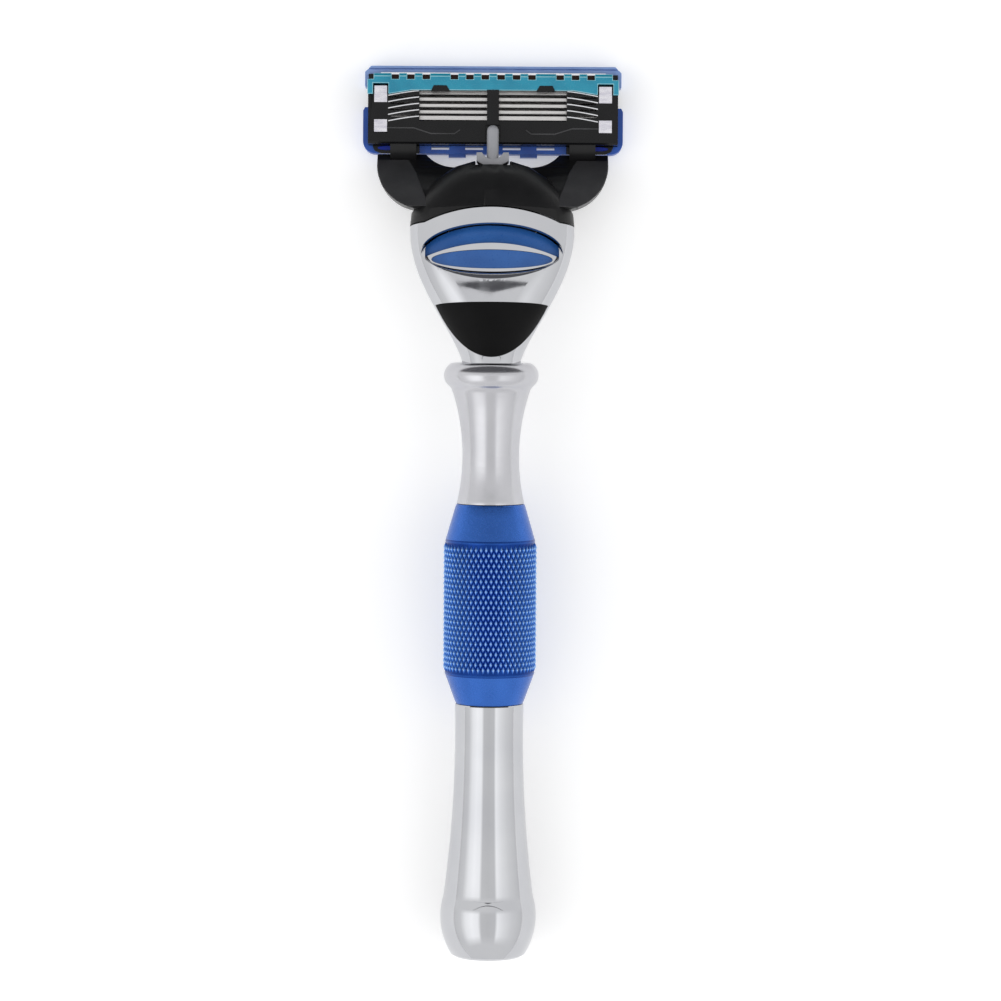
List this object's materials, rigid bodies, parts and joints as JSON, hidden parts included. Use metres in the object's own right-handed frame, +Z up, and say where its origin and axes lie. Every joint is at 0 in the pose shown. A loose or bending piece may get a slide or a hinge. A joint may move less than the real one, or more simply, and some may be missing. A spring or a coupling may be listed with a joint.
{
  "type": "cartridge razor",
  "caption": "Multi-blade cartridge razor with a turned metal handle, knurled grip sleeve, chrome head, eject button and a pivoting, detachable blade cartridge.",
  "frame": {"origin": "on the table, under the centre of the whole razor's bounding box, razor lying blades down", "axes": "+Y from the tail to the cartridge, +Z up from the table towards the razor's back, X across the cartridge"},
  "size_m": [0.0422, 0.144, 0.0206],
  "materials": {
    "polished_chrome": "mirror-polished chrome plate on turned metal",
    "satin_chrome": "soft satin chrome plate",
    "steel_rod": "plain threaded steel",
    "blue_anodised": "blue anodised, knurled grip between smooth cones",
    "black_rubber": "matt soft inlay",
    "black_plastic": "fine moulded texture",
    "grey_plastic": "smooth moulded acetal",
    "spring_wire": "drawn wire",
    "blue_plastic": "glossy moulding",
    "frame_plastic": "semi-gloss moulding",
    "guard_plastic": "soft-touch moulding",
    "fin_rubber": "soft fins",
    "support_steel": "bent stainless strip",
    "blade_steel": "ground and coated blade steel",
    "clip_metal": "bright bent strip",
    "pale_plastic": "pale blue moulding",
    "soap_polymer": "waxy water-soluble strip",
    "teal_plastic": "translucent-looking teal moulding"
  },
  "bodies": {
    "handle": {"tail_piece": "polished_chrome", "tie_rod": "steel_rod", "grip_sleeve": "blue_anodised", "neck_piece": "satin_chrome", "head_stud": "steel_rod", "head_shell": "polished_chrome", "rear_inlay": "black_rubber", "nose_core": "black_plastic", "plunger_spring": "spring_wire", "button_spring": "spring_wire"},
    "plunger": {"plunger": "grey_plastic"},
    "button": {"eject_button": "blue_plastic", "button_rim": "polished_chrome", "ejector_sled": "black_plastic"},
    "yoke": {"yoke": "black_plastic"},
    "cartridge": {"cartridge_frame": "frame_plastic", "guard": "guard_plastic", "fin_strip": "fin_rubber", "blade_support_1": "support_steel", "blade_support_2": "support_steel", "blade_support_3": "support_steel", "blade_support_4": "support_steel", "blade_support_5": "support_steel", "blade_edge_1": "blade_steel", "blade_edge_2": "blade_steel", "blade_edge_3": "blade_steel", "blade_edge_4": "blade_steel", "blade_edge_5": "blade_steel", "clip_left": "clip_metal", "clip_right": "clip_metal", "strip_carrier": "pale_plastic", "lubricating_strip": "soap_polymer", "trimmer_blade": "blade_steel", "trimmer_comb": "teal_plastic"}
  },
  "joints": [
    {"name": "cartridge_release", "type": "slide", "parent": "handle", "child": "yoke", "axis": [0, 0.9875, -0.1575], "range_m": [0, 0.022]},
    {"name": "cartridge_pivot", "type": "hinge", "parent": "yoke", "child": "cartridge", "pos_m": [0, 0.05961, 0.002], "axis": [1, 0, 0], "range_deg": [0, 40], "stiffness_Nm_per_rad": 0.008, "springref_deg": -17.19},
    {"name": "plunger_slide", "type": "slide", "parent": "handle", "child": "plunger", "axis": [0, -0.9875, 0.1575], "range_m": [0, 0.004], "deforming": ["plunger_spring"]},
    {"name": "eject_button_slide", "type": "slide", "parent": "handle", "child": "button", "axis": [0, 0.9875, -0.1575], "range_m": [0, 0.003], "stiffness_N_per_m": 300, "springref_m": -0.003, "deforming": ["button_spring"]}
  ],
  "couplings": [
    {"joint": "plunger_slide", "follows": "cartridge_pivot", "m_per_rad": 0.0055863}
  ]
}
